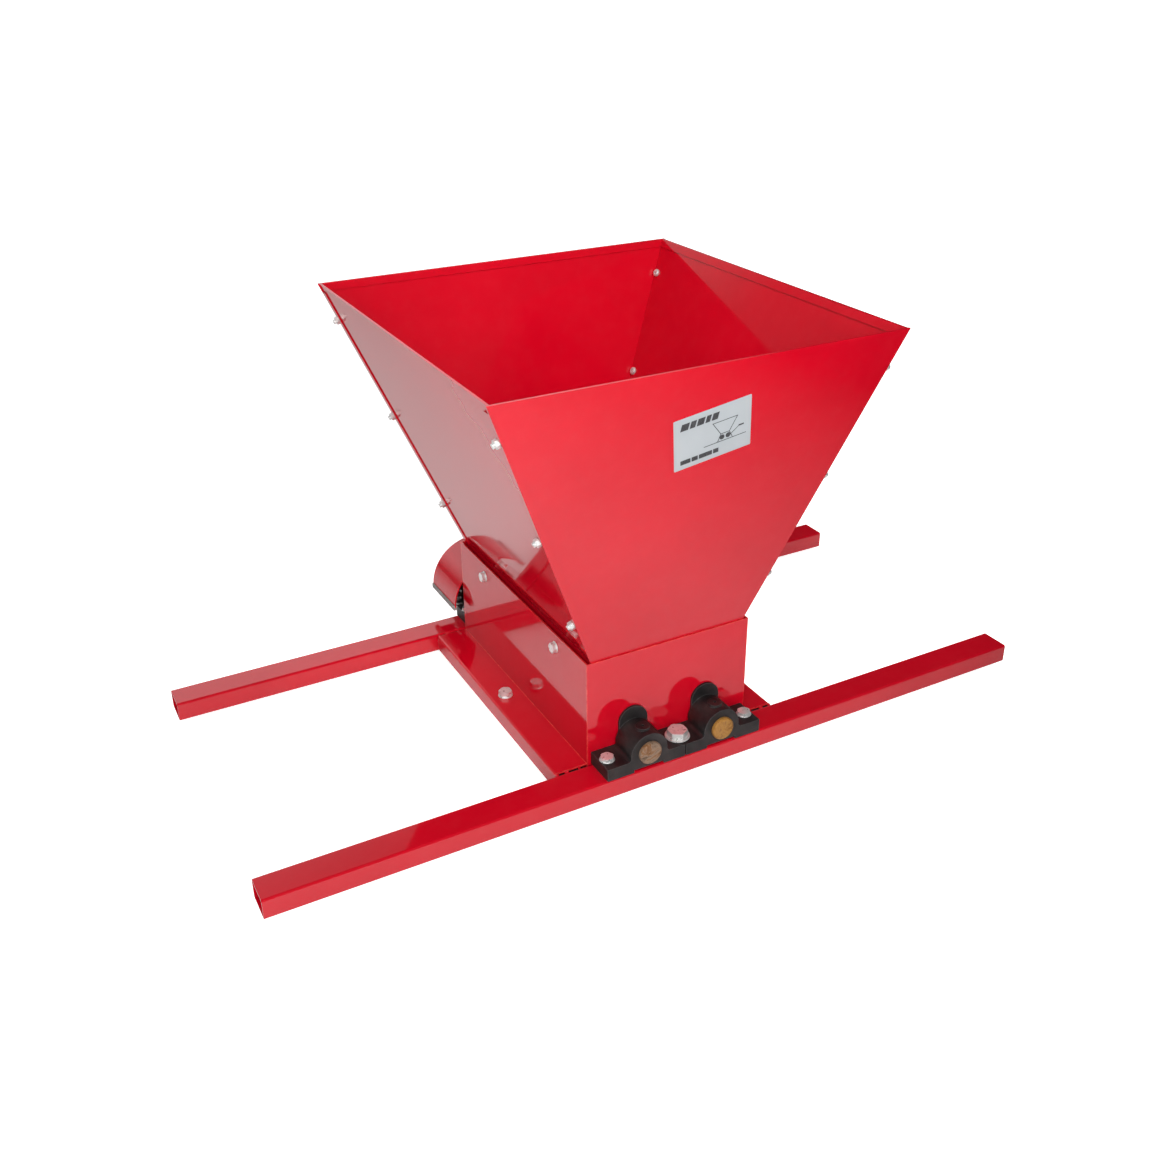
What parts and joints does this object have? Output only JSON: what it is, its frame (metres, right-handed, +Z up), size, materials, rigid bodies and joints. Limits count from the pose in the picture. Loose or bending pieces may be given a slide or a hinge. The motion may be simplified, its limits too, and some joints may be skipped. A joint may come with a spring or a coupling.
{
  "type": "grain mill",
  "caption": "Hand-cranked fruit mill: square funnel hopper over a narrow housing with geared crushing rollers, on long rails that lie across a tub, with the crank at the back.",
  "frame": {"origin": "midway between the rails, at the middle of the housing, on the plane of the rails' undersides", "axes": "+X along the rails, +Y from the bearing side to the gear and crank side, +Z up out of the hopper"},
  "size_m": [0.886, 0.5729, 0.456],
  "materials": {
    "red_paint": "gloss powder coat",
    "zinc_plate": "bright zinc plate",
    "black_plastic": "moulded, slightly rough",
    "grip_plastic": "smooth moulded",
    "bare_steel": "turned, lightly rusted",
    "gear_steel": "machined, oiled",
    "roller_aluminium": "as cast, satin",
    "grey_rubber": "matte extruded",
    "label_foil": "satin printed film"
  },
  "bodies": {
    "frame": {"rail_front": "red_paint", "rail_back": "red_paint", "cross_tube_left": "red_paint", "cross_tube_right": "red_paint", "housing_front": "red_paint", "housing_back": "red_paint", "housing_left": "red_paint", "housing_right": "red_paint", "hopper_front": "red_paint", "hopper_back": "red_paint", "hopper_left": "red_paint", "hopper_right": "red_paint", "gear_guard": "red_paint", "hopper_screws": "zinc_plate", "hopper_nuts": "zinc_plate", "housing_bolts": "zinc_plate", "housing_spacers": "zinc_plate", "housing_nuts": "zinc_plate", "cross_bolts": "zinc_plate", "cross_nuts": "zinc_plate", "block_bolts": "zinc_plate", "block_nuts": "zinc_plate", "centre_bolts": "zinc_plate", "centre_washers": "zinc_plate", "centre_nuts": "zinc_plate", "guard_screws": "zinc_plate", "guard_nuts": "zinc_plate", "bearing_front_left": "black_plastic", "bearing_front_right": "black_plastic", "bearing_back_left": "black_plastic", "bearing_back_right": "black_plastic", "guard_trim": "grey_rubber", "label_plate": "label_foil"},
    "drive_rotor": {"drive_shaft": "bare_steel", "drive_roller": "roller_aluminium", "drive_roller_pins": "bare_steel", "drive_gear": "gear_steel", "drive_gear_key": "bare_steel", "drive_gear_ring": "bare_steel", "crank_arm": "zinc_plate", "crank_bolt": "zinc_plate", "crank_washer": "zinc_plate", "grip_bolt": "zinc_plate", "grip_nut": "zinc_plate"},
    "driven_rotor": {"driven_shaft": "bare_steel", "driven_roller": "roller_aluminium", "driven_roller_pins": "bare_steel", "driven_gear": "gear_steel", "driven_gear_key": "bare_steel", "driven_gear_ring": "bare_steel"},
    "crank_grip": {"grip": "grip_plastic"}
  },
  "joints": [
    {"name": "drive_spin", "type": "hinge", "parent": "frame", "child": "drive_rotor", "pos_m": [0.0435, 0, 0.042], "axis": [0, 1, 0], "continuous": true},
    {"name": "driven_spin", "type": "hinge", "parent": "frame", "child": "driven_rotor", "pos_m": [-0.0435, 0, 0.042], "axis": [0, 1, 0], "continuous": true},
    {"name": "grip_spin", "type": "hinge", "parent": "drive_rotor", "child": "crank_grip", "pos_m": [0.0435, 0.29, 0.242], "axis": [0, 1, 0], "continuous": true}
  ],
  "couplings": [
    {"joint": "driven_spin", "follows": "drive_spin", "ratio": -1}
  ]
}
